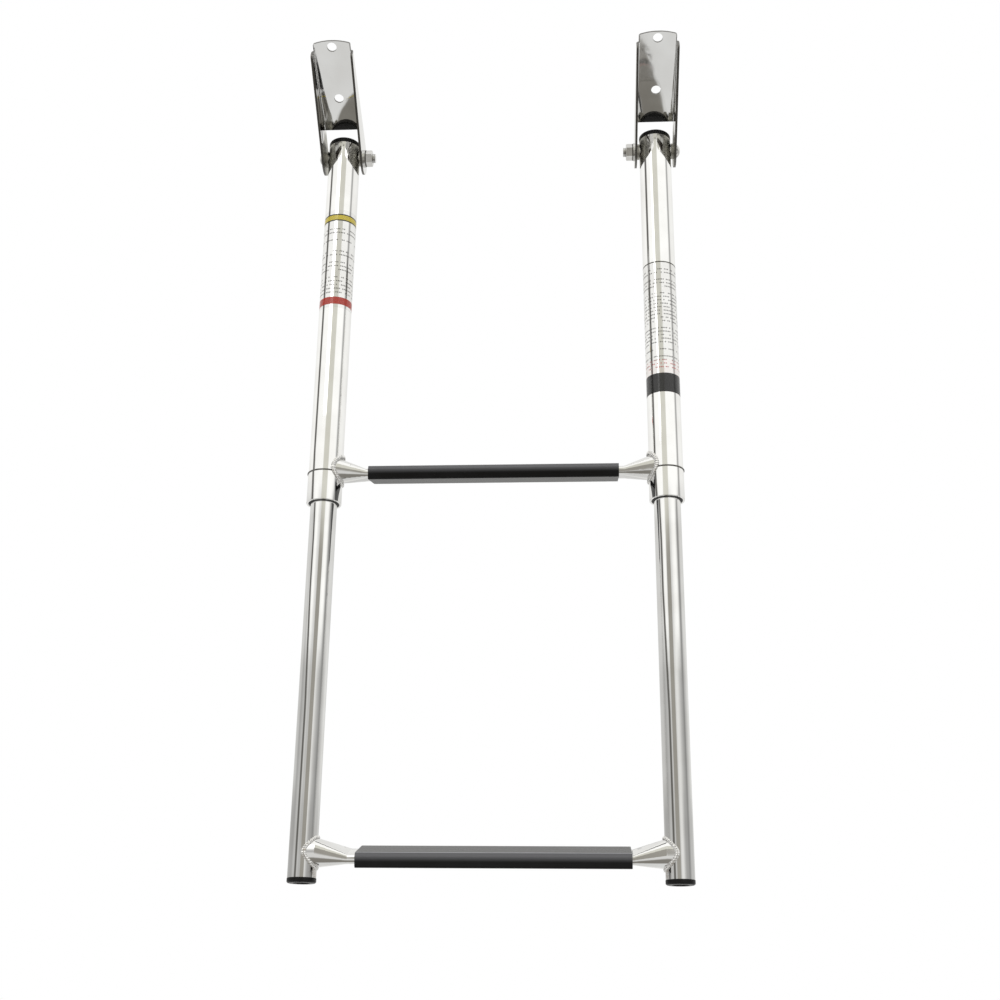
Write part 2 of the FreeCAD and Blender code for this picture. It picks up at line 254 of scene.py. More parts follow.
def paint_studio():
    world = bpy.data.worlds.new("studio")
    bpy.context.scene.world = world
    world.use_nodes = True
    tree = world.node_tree
    direction = add(tree, "ShaderNodeTexCoord").outputs["Generated"]
    parts = add(tree, "ShaderNodeSeparateXYZ", {0: direction}).outputs
    up = parts["Z"]
    toward_camera = math_node(tree, "MULTIPLY", parts["Y"], -1.0)
    angle = math_node(tree, "ARCTAN2", parts["X"], toward_camera)
    degrees = math_node(tree, "DEGREES", angle)
    turn = span(tree, angle, -math.pi, math.pi)
    tent = ring_ramp(tree, turn, LOW_RING)
    for low, high, ring in ((7.5, 9.5, MIDDLE_RING), (13, 16, WAIST_RING), (19.5, 22, HIGH_RING)):
        share = span(tree, up, height(low), height(high), smooth=True)
        tent = blend_colour(tree, share, tent, ring_ramp(tree, turn, ring))
    tent = blend_colour(tree, leaning_gap(tree, degrees, up), tent, GAP_GREY)
    facing = span(tree, math_node(tree, "ABSOLUTE", degrees), 75.0, 110.0, 1.0, 0.0, smooth=True)
    not_straight_down = span(tree, up, height(-88), height(-78), smooth=True)
    not_far_ahead = span(tree, up, height(-52), height(-30), 1.0, 0.0, smooth=True)
    near = math_node(tree, "MULTIPLY", facing, math_node(tree, "MULTIPLY", not_straight_down, not_far_ahead))
    ground = blend_colour(tree, near, GROUND, NEAR_GROUND)
    skirt = span(tree, up, height(-46), height(-34), smooth=True)
    ground = blend_colour(tree, skirt, ground, ring_ramp(tree, turn, SKIRT_RING))
    tent = blend_colour(tree, span(tree, up, height(-8), height(-1), 1.0, 0.0, smooth=True), tent, ground)
    lens = add(tree, "ShaderNodeLightPath").outputs["Is Camera Ray"]
    background = tree.nodes["Background"].inputs["Color"]
    tree.links.new(blend_colour(tree, lens, tent, CAMERA_WHITE), background)


paint_studio()
print("studio painted")

# %% [markdown]
# A pale floor lies well below the ladder, which hangs from its brackets. One broad soft lamp above and
# in front gives the black plastic a highlight. A dim card stands between the lamp and the ladder, where
# only the mirrors see it: it gives each tube the beige stripe down its middle. Its edges fade, so that
# the stripe is soft. The view transform is Standard, so that a colour shows as it is written.

# %% Lay the floor and hang the lamp
FLOOR_Z = -0.96
FLOOR_HALF = 6.0
FLOOR_COLOUR = (0.86, 0.86, 0.86)
LAMP_PLACE = Vector((-0.45, -1.5, 0.9))
LAMP_SIZE = 0.9
LAMP_POWER = 3.0


def add_stage(name, shape, material):
    mesh = bpy.data.meshes.new(name)
    shape.to_mesh(mesh)
    shape.free()
    mesh.materials.append(material)
    stage_piece = bpy.data.objects.new(name, mesh)
    bpy.context.scene.collection.objects.link(stage_piece)
    return stage_piece


def floor_paint():
    material, tree, shader = new_material("studio_floor")
    cloud = noise_value(tree, object_place(tree), 3.0, 3.0)
    pale = tuple(value * 0.97 for value in FLOOR_COLOUR)
    tree.links.new(blend_colour(tree, cloud, pale, FLOOR_COLOUR), shader.inputs["Base Color"])
    shader.inputs["Roughness"].default_value = 0.7
    return material


def lay_floor():
    shape = bmesh.new()
    bmesh.ops.create_grid(shape, x_segments=1, y_segments=1, size=FLOOR_HALF)
    bmesh.ops.translate(shape, verts=shape.verts, vec=(0, 0, FLOOR_Z))
    floor = add_stage("floor", shape, floor_paint())
    floor.visible_glossy = False


def hang_lamp():
    data = bpy.data.lights.new("soft_lamp", "AREA")
    data.shape = "SQUARE"
    data.size = LAMP_SIZE
    data.energy = LAMP_POWER
    lamp = bpy.data.objects.new("soft_lamp", data)
    aim = Vector((MIDDLE_X, RAIL_Y, UPPER_RUNG_Z)) - LAMP_PLACE
    lamp.matrix_world = Matrix.Translation(LAMP_PLACE) @ aim.to_track_quat("-Z", "Y").to_matrix().to_4x4()
    bpy.context.scene.collection.objects.link(lamp)


lay_floor()
hang_lamp()
bpy.context.scene.view_settings.view_transform = "Standard"
print("floor and lamp in place")

# %% Stand the card
CARD_AHEAD = 0.80
CARD_X = MIDDLE_X - 0.02
CARD_LOW, CARD_HIGH = HINGE_Z - 0.90, HINGE_Z + 0.70
CARD_HALF = 0.34
CARD_FOOT_SHARE = 0.70
CARD_DIM, CARD_BEIGE = (0.36, 0.345, 0.31), (0.74, 0.73, 0.655)
CARD_TURN = HINGE_Z - 0.08


def card_paint():
    material, tree, shader = new_material("card")
    parts = add(tree, "ShaderNodeSeparateXYZ", {0: object_place(tree)}).outputs
    bright = span(tree, parts["Z"], CARD_TURN - 0.06, CARD_TURN + 0.06, smooth=True)
    half = span(tree, parts["Z"], CARD_LOW, CARD_HIGH, CARD_HALF * CARD_FOOT_SHARE, CARD_HALF)
    aside = math_node(tree, "ABSOLUTE", math_node(tree, "SUBTRACT", parts["X"], CARD_X))
    share = math_node(tree, "DIVIDE", aside, half)
    tree.links.new(blend_colour(tree, bright, CARD_DIM, CARD_BEIGE), shader.inputs["Emission Color"])
    tree.links.new(span(tree, share, 0.7, 1.0, 1.0, 0.0, smooth=True), shader.inputs["Alpha"])
    shader.inputs["Emission Strength"].default_value = 1.0
    shader.inputs["Base Color"].default_value = (0, 0, 0, 1)
    shader.inputs["Specular IOR Level"].default_value = 0.0
    return material


def stand_card():
    shape = bmesh.new()
    bmesh.ops.create_grid(shape, x_segments=1, y_segments=1, size=0.5)
    bmesh.ops.rotate(shape, verts=shape.verts, matrix=Matrix.Rotation(math.pi / 2, 3, "X"))
    bmesh.ops.scale(shape, verts=shape.verts, vec=(2 * CARD_HALF, 1, CARD_HIGH - CARD_LOW))
    centre = Vector((CARD_X, RAIL_Y - CARD_AHEAD, (CARD_LOW + CARD_HIGH) / 2))
    bmesh.ops.translate(shape, verts=shape.verts, vec=centre)
    card = add_stage("card", shape, card_paint())
    card.visible_camera = False
    card.visible_diffuse = False
    card.visible_shadow = False


stand_card()
print("card in place")

# %% [markdown]
# The rails are drawn tube, buffed to a mirror. Drawing leaves faint streaks along the tube, and
# buffing leaves a soft unevenness, so the roughness is a noise stretched along Z and the surface gets
# a very slight bump. Below the lower welds the heat has left brown spots. They are placed by the
# distance from the weld, which is the same on both sides because the ladder is symmetrical.

# %% Polished tube
STEEL = (0.87, 0.87, 0.86)
STEEL_DULL = (0.80, 0.795, 0.78)
HEAT_BROWN = (0.42, 0.33, 0.24)


def stains(tree, steel, places, reach):
    """Brown spots that fade out at a distance from each place."""
    start = add(tree, "ShaderNodeTexCoord").outputs["Object"]
    parts = add(tree, "ShaderNodeSeparateXYZ", {0: start}).outputs
    from_middle = math_node(tree, "ABSOLUTE", math_node(tree, "SUBTRACT", parts["X"], MIDDLE_X))
    folded = add(tree, "ShaderNodeCombineXYZ", {0: from_middle, 1: parts["Y"], 2: parts["Z"]}).outputs[0]
    speckle = noise_value(tree, start, 900.0, 4.0, 0.65)
    for place in places:
        away = add(tree, "ShaderNodeVectorMath", {0: folded, 1: place}, operation="DISTANCE").outputs["Value"]
        near = span(tree, away, reach * 0.55, reach, 1.0, 0.0, smooth=True)
        spots = span(tree, speckle, 0.47, 0.66)
        steel = blend_colour(tree, math_node(tree, "MULTIPLY", near, spots), steel, HEAT_BROWN)
    return steel


def streaked_steel(name, streak, bump_depth, rough_low, rough_high):
    """Polished steel with streaks: streak is the stretch of the noise along X, Y and Z."""
    material, tree, shader = new_material(name)
    fine = noise_value(tree, object_place(tree, streak), 1.0, 6.0, 0.6)
    broad = noise_value(tree, object_place(tree), 38.0, 2.0)
    colour = blend_colour(tree, span(tree, broad, 0.35, 0.7), STEEL, STEEL_DULL)
    shader.inputs["Metallic"].default_value = 1.0
    tree.links.new(span(tree, fine, 0.3, 0.75, rough_low, rough_high), shader.inputs["Roughness"])
    waves = math_node(tree, "ADD", math_node(tree, "MULTIPLY", fine, 0.15), broad)
    bump = add(tree, "ShaderNodeBump", {"Height": waves, "Strength": 1.0, "Distance": bump_depth})
    tree.links.new(bump.outputs[0], shader.inputs["Normal"])
    return material, tree, shader, colour


def polished_tube():
    streak = (700.0, 700.0, 9.0)
    material, tree, shader, colour = streaked_steel("polished_tube", streak, 0.00003, 0.02, 0.06)
    half = (RIGHT_X - LEFT_X) / 2
    below_welds = [(half - INNER_RADIUS, RAIL_Y, LOWER_RUNG_Z - 12 * MM)]
    tree.links.new(stains(tree, colour, below_welds, 0.012), shader.inputs["Base Color"])
    return material


def polished_rung():
    streak = (9.0, 500.0, 500.0)
    material, tree, shader, colour = streaked_steel("polished_rung", streak, 0.00004, 0.03, 0.08)
    tree.links.new(colour, shader.inputs["Base Color"])
    return material


TUBE_STEEL = polished_tube()
RUNG_STEEL = polished_rung()
print("tube finishes:", TUBE_STEEL.name, RUNG_STEEL.name)

# %% [markdown]
# The brackets are folded from 2 mm sheet and polished after folding. Folding leaves the back plate
# slightly hollow along its length, so its mirror image of the rail is stretched. That hollow is far
# too shallow to model, so it is a bump: a height that grows along the plate, steeper near its lower
# edge. The sawn rims of the sheet stay darker than the faces. Inside the channel the ears' inner faces
# are rougher and painted a darker grey, which is painted shade from the tube beside them. The inside of
# the outer walls carries dark lines along the fold, which are painted reflections of the walls in each other.

# %% Find the lean of the brackets
def mount(name):
    return next(item for item in frame["record"]["mounts"] if item["name"] == name)


PLATE_OUT = -Vector(mount("left_bracket_back")["axis"])
PLATE_UP = Vector((1, 0, 0)).cross(PLATE_OUT).normalized()
if PLATE_UP.z < 0:
    PLATE_UP = -PLATE_UP
print("the plates lean", round(math.degrees(math.acos(PLATE_UP.z)), 2), "degrees")

# %% Polished sheet and its cut rim
RIM_STEEL = (0.15, 0.146, 0.138)
EAR_PAINTED_SHADE = (0.50, 0.49, 0.445)
EAR_TOP = 20 * MM
PLATE_DEPTH = OUTER_RADIUS + 1.0 * MM
WALLS_END = 99 * MM
WALL_REACH_LOW, WALL_REACH_HIGH = 26 * MM, 7.4 * MM
WALL_REFLECTION_DARK = (0.05, 0.042, 0.036)
WALL_REFLECTION_DRIFT = 0.5
WALL_REFLECTION_STOPS = [(0.0, 0), (0.15, 0), (0.18, 0.8), (0.26, 0.8), (0.30, 0), (0.39, 0), (0.42, 1), (0.60, 1), (0.64, 0)]
TONGUE_EDGE = 15.9 * MM
EVEN_SLOPE = 0.06
END_SLOPE = 0.15
HOLLOW_FROM, HOLLOW_TO = 65 * MM, 21 * MM


def dot_with(tree, place, direction):
    return add(tree, "ShaderNodeVectorMath", {0: place, 1: direction}, operation="DOT_PRODUCT").outputs["Value"]


def along_plate(tree):
    """The distance from the hinge along the plate, in metres."""
    start = add(tree, "ShaderNodeTexCoord").outputs["Object"]
    from_hinge = add(tree, "ShaderNodeVectorMath", {0: start, 1: HINGE}, operation="SUBTRACT").outputs[0]
    return dot_with(tree, from_hinge, PLATE_UP)


def on_back_plate(tree):
    """1 on faces that lie flat with the back plate, 0 on the walls."""
    normal = add(tree, "ShaderNodeNewGeometry").outputs["True Normal"]
    return span(tree, dot_with(tree, normal, PLATE_OUT), 0.9, 0.98, smooth=True)


def hollow_height(tree):
    along = along_plate(tree)
    even = math_node(tree, "MULTIPLY", along, EVEN_SLOPE)
    share = span(tree, along, HOLLOW_TO, HOLLOW_FROM, 1.0, 0.0)
    deepening = math_node(tree, "MULTIPLY", math_node(tree, "POWER", share, 2.0),
                          END_SLOPE * (HOLLOW_FROM - HOLLOW_TO) / 2)
    return math_node(tree, "SUBTRACT", even, deepening)


def channel_sides(tree):
    """How far outward from its rail a point lies, and 1 where its face looks back at the rail."""
    start = add(tree, "ShaderNodeTexCoord").outputs["Object"]
    place = add(tree, "ShaderNodeSeparateXYZ", {0: start}).outputs["X"]
    normal = add(tree, "ShaderNodeNewGeometry").outputs["True Normal"]
    facing = add(tree, "ShaderNodeSeparateXYZ", {0: normal}).outputs["X"]
    from_middle = math_node(tree, "SUBTRACT", place, MIDDLE_X)
    outward = math_node(tree, "SUBTRACT", math_node(tree, "ABSOLUTE", from_middle), (RIGHT_X - LEFT_X) / 2)
    faces_out = math_node(tree, "MULTIPLY", facing, math_node(tree, "SIGN", from_middle))
    turned_away = math_node(tree, "MULTIPLY", faces_out, math_node(tree, "SIGN", outward))
    return outward, math_node(tree, "LESS_THAN", turned_away, -0.9)


def painted_wall_reflections(tree, outward, inner_side):
    """Painted reflections: dark lines on the inside of the outer walls, which drift forward toward the ears."""
    start = add(tree, "ShaderNodeTexCoord").outputs["Object"]
    forward = math_node(tree, "ADD", dot_with(tree, start, PLATE_OUT), PLATE_DEPTH - HINGE.dot(PLATE_OUT))
    along = along_plate(tree)
    share = math_node(tree, "DIVIDE", forward, span(tree, along, EAR_TOP, WALLS_END, WALL_REACH_LOW, WALL_REACH_HIGH))
    drift = span(tree, along, EAR_TOP, WALLS_END, WALL_REFLECTION_DRIFT, 0.0)
    from_line = math_node(tree, "SUBTRACT", share, drift)
    place = span(tree, from_line, -WALL_REFLECTION_DRIFT, 1.0)
    lines = ramp(tree, place, [(stop, (level, level, level)) for stop, level in WALL_REFLECTION_STOPS])
    outer = math_node(tree, "MULTIPLY", inner_side, math_node(tree, "GREATER_THAN", outward, 0.0))
    return math_node(tree, "MULTIPLY", lines, outer)


def tongue_edges(tree, outward):
    """1 close to the side edges of the plate's end, past the walls."""
    aside = math_node(tree, "GREATER_THAN", math_node(tree, "ABSOLUTE", outward), TONGUE_EDGE)
    past = span(tree, along_plate(tree), WALLS_END - 1 * MM, WALLS_END + 1 * MM, smooth=True)
    return math_node(tree, "MULTIPLY", math_node(tree, "MULTIPLY", aside, past), 0.75)


def polished_sheet():
    material, tree, shader = new_material("polished_sheet")
    fine = noise_value(tree, object_place(tree, (260.0, 40.0, 40.0)), 1.0, 6.0, 0.6)
    broad = noise_value(tree, object_place(tree), 38.0, 2.0)
    colour = blend_colour(tree, span(tree, broad, 0.35, 0.7), STEEL, STEEL_DULL)
    outward, inner_side = channel_sides(tree)
    # painted reflections: dark lines inside the outer walls stand in for the walls' mirror images of each other
    colour = blend_colour(tree, painted_wall_reflections(tree, outward, inner_side), colour, WALL_REFLECTION_DARK)
    colour = blend_colour(tree, tongue_edges(tree, outward), colour, RIM_STEEL)
    # painted shade: the inner faces of the ears are painted darker grey below the ears' top, and also made rougher
    low_part = span(tree, along_plate(tree), EAR_TOP - 2 * MM, EAR_TOP + 2 * MM, 1.0, 0.0, smooth=True)
    ear_shade = math_node(tree, "MULTIPLY", inner_side, low_part)
    tree.links.new(blend_colour(tree, ear_shade, colour, EAR_PAINTED_SHADE), shader.inputs["Base Color"])
    shader.inputs["Metallic"].default_value = 1.0
    buffed = span(tree, fine, 0.3, 0.75, 0.03, 0.08)
    rough = math_node(tree, "ADD", buffed, math_node(tree, "MULTIPLY", ear_shade, 0.4))
    tree.links.new(rough, shader.inputs["Roughness"])
    hollow = math_node(tree, "MULTIPLY", hollow_height(tree), on_back_plate(tree))
    waves = math_node(tree, "MULTIPLY", broad, 0.00012)
    bump = add(tree, "ShaderNodeBump", {"Height": math_node(tree, "ADD", hollow, waves), "Distance": 1.0})
    tree.links.new(bump.outputs[0], shader.inputs["Normal"])
    return material


def cut_rim():
    material, tree, shader = new_material("cut_rim")
    grain = noise_value(tree, object_place(tree, (2500.0, 300.0, 300.0)), 1.0, 4.0)
    bright = tuple(value * 1.4 for value in RIM_STEEL)
    tree.links.new(blend_colour(tree, grain, RIM_STEEL, bright), shader.inputs["Base Color"])
    shader.inputs["Metallic"].default_value = 1.0
    tree.links.new(span(tree, grain, 0.3, 0.7, 0.2, 0.38), shader.inputs["Roughness"])
    return material


SHEET_STEEL = polished_sheet()
CUT_RIM = cut_rim()
print("sheet finishes:", SHEET_STEEL.name, CUT_RIM.name)

# %% [markdown]
# Bolts, nuts and washers are turned or pressed and only washed afterwards: still bright, but with a
# fine uneven grain that spreads each highlight. The groove behind each nut gets a band of painted shade,
# and the bolt's tip gets dark stripes of painted shade for its threads. Both are found by their
# distance from the rail, which lies along the bolt.

# %% Fastener steel
GROOVE_FROM, GROOVE_TO = -21.1 * MM, -20.0 * MM
THREAD_END = -26.4 * MM
THREAD_PITCH = 1.25 * MM
GROOVE_SHADE = (0.07, 0.065, 0.055)


def painted_groove_shade(tree, outward):
    """How much painted shade a fastener gets: the groove behind the nut, and stripes on the threads."""
    in_groove = math_node(tree, "MULTIPLY", math_node(tree, "GREATER_THAN", outward, GROOVE_FROM),
                          math_node(tree, "LESS_THAN", outward, GROOVE_TO))
    wave = math_node(tree, "SINE", math_node(tree, "MULTIPLY", outward, 2 * math.pi / THREAD_PITCH))
    thread_shade = math_node(tree, "MULTIPLY", span(tree, wave, -0.2, 0.5), math_node(tree, "LESS_THAN", outward, THREAD_END))
    return math_node(tree, "MULTIPLY", math_node(tree, "MAXIMUM", in_groove, thread_shade), 0.85)


def fastener_steel():
    material, tree, shader = new_material("fastener_steel")
    grain = noise_value(tree, object_place(tree), 1400.0, 5.0, 0.6)
    smear = noise_value(tree, object_place(tree), 160.0, 2.0)
    steel = blend_colour(tree, smear, (0.74, 0.735, 0.72), (0.58, 0.575, 0.56))
    # painted shade: a dark band behind each nut and dark stripes for the bolt's threads
    steel = blend_colour(tree, painted_groove_shade(tree, channel_sides(tree)[0]), steel, GROOVE_SHADE)
    tree.links.new(steel, shader.inputs["Base Color"])
    shader.inputs["Metallic"].default_value = 1.0
    tree.links.new(span(tree, grain, 0.3, 0.7, 0.08, 0.18), shader.inputs["Roughness"])
    bump = add(tree, "ShaderNodeBump", {"Height": grain, "Strength": 0.5, "Distance": 0.00003})
    tree.links.new(bump.outputs[0], shader.inputs["Normal"])
    return material


def spacer_steel():
    material, tree, shader = new_material("spacer_steel")
    grain = noise_value(tree, object_place(tree), 700.0, 4.0, 0.6)
    tree.links.new(blend_colour(tree, grain, (0.44, 0.43, 0.39), (0.34, 0.33, 0.30)), shader.inputs["Base Color"])
    shader.inputs["Metallic"].default_value = 1.0
    tree.links.new(span(tree, grain, 0.3, 0.7, 0.3, 0.45), shader.inputs["Roughness"])
    return material


FASTENER = fastener_steel()
SPACER = spacer_steel()
print("fastener finishes:", FASTENER.name, SPACER.name)

# %% [markdown]
# The black parts are plastic. The grips are extruded, so they carry faint lines along the rung and a
# soft shine. The plugs and caps are moulded and a little duller. The bushings of the slide are nylon.

# %% Black plastics
PLASTIC_SHINE = 0.2


def black_plastic(name, colour, dusty, grain_stretch, rough_low, rough_high, depth):
    """A black plastic: grain_stretch sets the direction of its grain."""
    material, tree, shader = new_material(name)
    shader.inputs["Specular IOR Level"].default_value = PLASTIC_SHINE
    grain = noise_value(tree, object_place(tree, grain_stretch), 1.0, 5.0, 0.6)
    cloud = noise_value(tree, object_place(tree), 60.0, 4.0, 0.6)
    dust = span(tree, cloud, 0.45, 0.8)
    tree.links.new(blend_colour(tree, dust, colour, dusty), shader.inputs["Base Color"])
    tree.links.new(span(tree, grain, 0.3, 0.7, rough_low, rough_high), shader.inputs["Roughness"])
    bump = add(tree, "ShaderNodeBump", {"Height": grain, "Strength": 0.6, "Distance": depth})
    tree.links.new(bump.outputs[0], shader.inputs["Normal"])
    return material, tree, shader


MOULDED = black_plastic(
    "black_plastic", (0.006, 0.006, 0.006), (0.012, 0.012, 0.012), (1500.0, 1500.0, 1500.0), 0.25, 0.4, 0.00003)[0]
NYLON = black_plastic(
    "black_nylon", (0.012, 0.012, 0.013), (0.024, 0.024, 0.024), (900.0, 900.0, 900.0), 0.35, 0.5, 0.00003)[0]
print("plastics:", MOULDED.name, NYLON.name)

# %% [markdown]
# Pieces whose drawn shape is already the real one keep it and only take their finish.

# %% Finish the plain pieces
def paint(node_name, material):
    piece = frame["nodes"][node_name]
    for slot in piece.material_slots:
        slot.material = material


PLAIN = {
    "outer_tube": TUBE_STEEL, "inner_tube": TUBE_STEEL, "guide_bushing": NYLON, "slide_bushing": NYLON,
    "outer_spacer": SPACER, "inner_spacer": SPACER,
}
for side in SIDES:
    for part, material in PLAIN.items():
        paint(f"{side}_{part}", material)
for rung in ("upper_rung", "lower_rung"):
    paint(rung, RUNG_STEEL)
print("plain pieces painted:", 2 * len(PLAIN) + 2)

# %% [markdown]
# No real corner is a knife edge: it is broken by a file, a tumbler or the buffing wheel, and the small
# round is what catches the light. A drawn piece has sharp corners, so a copy of it is merged into one
# skin, its flat triangles are dissolved into whole faces, and a bevel rounds every sharp edge. The copy
# then stands for the drawn piece. Weighted normals keep the broad faces flat beside their rounds.

# %% Round the corners
MERGE = 0.000002
FLAT_ANGLE = math.radians(0.4)
SHARP_ANGLE = math.radians(28)


def finish_mesh(shape, name, body, materials, weighted=False):
    """Turn a bmesh into a smooth-shaded piece on a body."""
    mesh = bpy.data.meshes.new(name)
    shape.to_mesh(mesh)
    shape.free()
    for face in mesh.polygons:
        face.use_smooth = True
    mesh.set_sharp_from_angle(angle=math.radians(40))
    for material in materials:
        mesh.materials.append(material)
    piece = bpy.data.objects.new(name, mesh)
    bpy.context.scene.collection.objects.link(piece)
    if weighted:
        normals = piece.modifiers.new("even_normals", "WEIGHTED_NORMAL")
        normals.keep_sharp = True
        normals.weight = 100
    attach(piece, body)
    return piece


def merged_copy(node_name):
    shape = bmesh.new()
    shape.from_mesh(frame["nodes"][node_name].data)
    bmesh.ops.remove_doubles(shape, verts=shape.verts, dist=MERGE)
    bmesh.ops.dissolve_limit(shape, angle_limit=FLAT_ANGLE, verts=shape.verts, edges=shape.edges)
    for face in shape.faces:
        face.material_index = 0
    return shape


def sharp_edges(shape):
    return [edge for edge in shape.edges if len(edge.link_faces) == 2 and edge.calc_face_angle() > SHARP_ANGLE]


def rounded(node_name, body, material, width, segments=2):
    """A copy of a drawn piece with rounded corners, in its place."""
    shape = merged_copy(node_name)
    bmesh.ops.bevel(
        shape, geom=sharp_edges(shape), offset=width, offset_type="OFFSET", segments=segments,
        profile=0.5, affect="EDGES", material=-1, clamp_overlap=True,
    )
    piece = finish_mesh(shape, f"{node_name}_finished", body, [material], weighted=True)
    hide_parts(node_name)
    return piece


ROUNDED = [
    ("collar", "upper_frame", "polished_tube", TUBE_STEEL, 0.25 * MM),
    ("top_plug", "upper_frame", "black_plastic", MOULDED, 0.5 * MM),
    ("foot_cap", "lower_frame", "black_plastic", MOULDED, 0.35 * MM),
    ("nut_washer", "brackets", "fastener_steel", FASTENER, 0.15 * MM),
    ("hinge_nut", "brackets", "fastener_steel", FASTENER, 0.2 * MM),
    ("hinge_bolt", "brackets", "fastener_steel", FASTENER, 0.3 * MM),
]
for side in SIDES:
    for part, body, slot, material, width in ROUNDED:
        piece = rounded(f"{side}_{part}", body, material, width)
        print(piece.name, len(piece.data.polygons), "faces")

# %% [markdown]
# The bracket gets the same round corners, and its rim gets the cut finish. Three kinds of face belong
# to the rim: those in front of the back plate that don't face sideways, those that look up along the
# plate, and, past the end of the walls, all that don't lie flat with the plate. The walls of the screw
# holes are as dark, but their rounded edges are buffed together with the plate.

# %% Brackets
FACING = 0.9
LOOKING_UP = 0.3
STEEP = 0.3
HOLE_REACH = 6.0 * MM
HOLE_ROUND = 0.35 * MM
SHEET_ROUND = 0.3 * MM


def depth_of(place):
    return -(place - HINGE).dot(PLATE_OUT)


def is_rim(face, walls_end):
    centre = face.calc_center_median()
    if depth_of(centre) < PLATE_DEPTH and abs(face.normal.x) < FACING:
        return True
    past_walls = (centre - HINGE).dot(PLATE_UP) > walls_end - MERGE
    flat = abs(face.normal.dot(PLATE_OUT)) > FACING
    return not flat and (past_walls or face.normal.dot(PLATE_UP) > LOOKING_UP)


def at_hole(item, holes):
    return any(all((vert.co - hole).length < HOLE_REACH for vert in item.verts) for hole in holes)


def choose_finish(shape, holes):
    ahead = [vert.co for vert in shape.verts if depth_of(vert.co) < PLATE_DEPTH]
    walls_end = max((place - HINGE).dot(PLATE_UP) for place in ahead)
    for face in shape.faces:
        if at_hole(face, holes):
            dark = abs(face.normal.dot(PLATE_OUT)) < STEEP
        else:
            dark = is_rim(face, walls_end)
        face.material_index = 1 if dark else 0


def round_edges(shape, edges, width):
    bmesh.ops.bevel(
        shape, geom=edges, offset=width, offset_type="OFFSET", segments=3,
        profile=0.5, affect="EDGES", material=-1, clamp_overlap=True,
    )


def bracket(side):
    node_name = f"{side}_mounting_bracket"
    shape = merged_copy(node_name)
    holes = [Vector(mount(f"{side}_{level}_screw_hole")["pos_m"]) for level in ("low", "high")]
    round_edges(shape, [edge for edge in sharp_edges(shape) if at_hole(edge, holes)], HOLE_ROUND)
    round_edges(shape, [edge for edge in sharp_edges(shape) if not at_hole(edge, holes)], SHEET_ROUND)
    choose_finish(shape, holes)
    piece = finish_mesh(shape, f"{side}_bracket", "brackets", [SHEET_STEEL, CUT_RIM], True)
    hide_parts(node_name)
    return piece


for side in SIDES:
    piece = bracket(side)
    print(piece.name, len(piece.data.polygons), "faces")

# %% [markdown]
# The grips are black sleeves pushed over the flat of each rung. Their corners are softer than the
# steel's, because the plastic is extruded through a die. The sloping edges get a painted sheen of slate
# grey, with a painted highlight along the rounded edge, which fades to black down the front. The fade is
# measured across the sleeve, so the material needs the sleeve's middle and its tilt.

# %% Grips
RUNG_TILT = math.radians(15.2)
SLEEVE_UP = Vector((0, -math.sin(RUNG_TILT), math.cos(RUNG_TILT)))
PAINTED_SHEEN_GREY, PAINTED_EDGE_HIGHLIGHT = 0.12, 0.35


def grip_with_painted_sheen(name, centre):
    material, tree, shader = black_plastic(
        name, (0.003, 0.003, 0.003), (0.006, 0.006, 0.007), (12.0, 2200.0, 2200.0), 0.22, 0.34, 0.00002)
    above = dot_with(tree, object_place(tree, shift=-centre), SLEEVE_UP)
    lift = dot_with(tree, add(tree, "ShaderNodeNewGeometry").outputs["Normal"], SLEEVE_UP)
    flat_top = span(tree, lift, 0.93, 0.99, smooth=True)
    sloping = math_node(tree, "SUBTRACT", 1.0, flat_top)
    # painted sheen: slate grey on the upper front fading to black downward, plus a painted highlight on the rounded
    # edge; the flat top stays black
    front_sheen = math_node(tree, "MULTIPLY", span(tree, above, -1.0 * MM, 4.5 * MM, smooth=True), PAINTED_SHEEN_GREY)
    edge = math_node(tree, "MULTIPLY", span(tree, lift, 0.74, 0.82), PAINTED_EDGE_HIGHLIGHT)
    painted_sheen = math_node(tree, "MULTIPLY", math_node(tree, "ADD", front_sheen, edge), sloping)
    black = shader.inputs["Base Color"].links[0].from_socket
    sheen_colour = add(tree, "ShaderNodeCombineXYZ", {0: painted_sheen, 1: painted_sheen, 2: math_node(tree, "MULTIPLY", painted_sheen, 1.06)})
    total = add(tree, "ShaderNodeVectorMath", {0: black, 1: sheen_colour.outputs[0]}, operation="ADD").outputs[0]
    tree.links.new(total, shader.inputs["Base Color"])
    return material


for name in ("upper", "lower"):
    sleeve = grip_with_painted_sheen(f"black_grip_{name}", middle(f"{name}_grip"))
    piece = rounded(f"{name}_grip", f"{name}_frame", sleeve, 0.8 * MM, 3)
    print(piece.name, len(piece.data.polygons), "faces")

# %% [markdown]
# Each rung's end is welded round to its rail. A weld is a row of small overlapping pools, so the bead
# starts as a ring made by spinning a small circle round the rung's axis. Then each point is pushed out
# and in by its place round the ring, moved along the rung until the ring lies on the round rail, and
# pressed flat toward the rail's surface.

